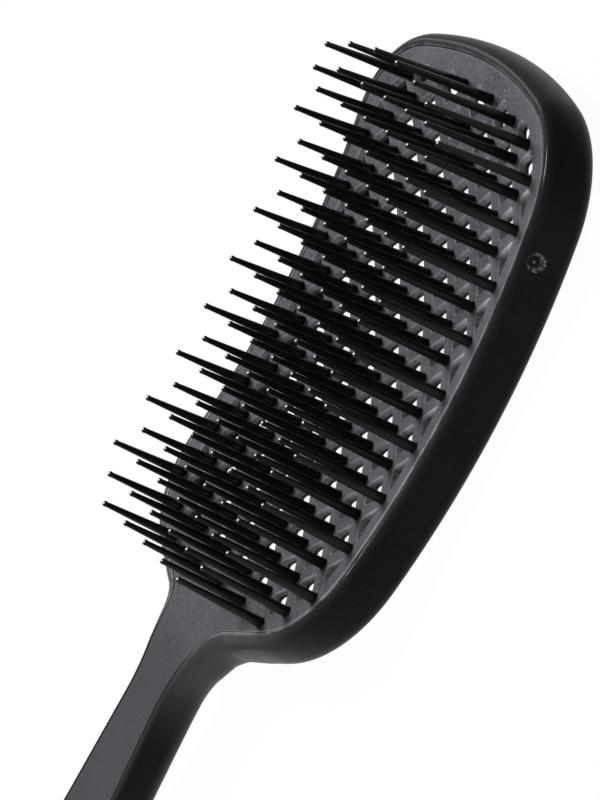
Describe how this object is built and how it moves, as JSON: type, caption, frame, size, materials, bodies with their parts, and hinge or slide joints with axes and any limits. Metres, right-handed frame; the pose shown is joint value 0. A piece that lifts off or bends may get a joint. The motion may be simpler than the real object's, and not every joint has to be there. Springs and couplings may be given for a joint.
{
  "type": "detangling brush",
  "caption": "Long-handled vented hair brush: a dished, open-backed head with stiff moulded pins and square vents, held in a rounded one-piece shell.",
  "frame": {"origin": "middle of the bounding box's bottom face, on the surface that the brush lies on", "axes": "+Y runs from the handle to the head, +Z is the way the pins point, +X is to the right with the head away and the pins up"},
  "size_m": [0.0782, 0.2408, 0.0338],
  "materials": {
    "charcoal_plate": "fine spark-eroded satin",
    "charcoal_grille": "satin",
    "black_shell": "smooth satin",
    "black_pins": "polished moulding"
  },
  "bodies": {
    "root": {"front_plate": "charcoal_plate", "rear_grille": "charcoal_grille", "back_shell": "black_shell", "pin_row_01": "black_pins", "pin_row_02": "black_pins", "pin_row_03": "black_pins", "pin_row_04": "black_pins", "pin_row_05": "black_pins", "pin_row_06": "black_pins", "pin_row_07": "black_pins", "pin_row_08": "black_pins", "pin_row_09": "black_pins", "pin_row_10": "black_pins", "pin_row_11": "black_pins", "pin_row_12": "black_pins", "pin_row_13": "black_pins", "pin_row_14": "black_pins", "pin_row_15": "black_pins", "pin_row_16": "black_pins", "pin_row_17": "black_pins", "pin_row_18": "black_pins", "pin_row_19": "black_pins", "pin_row_20": "black_pins"}
  },
  "joints": []
}
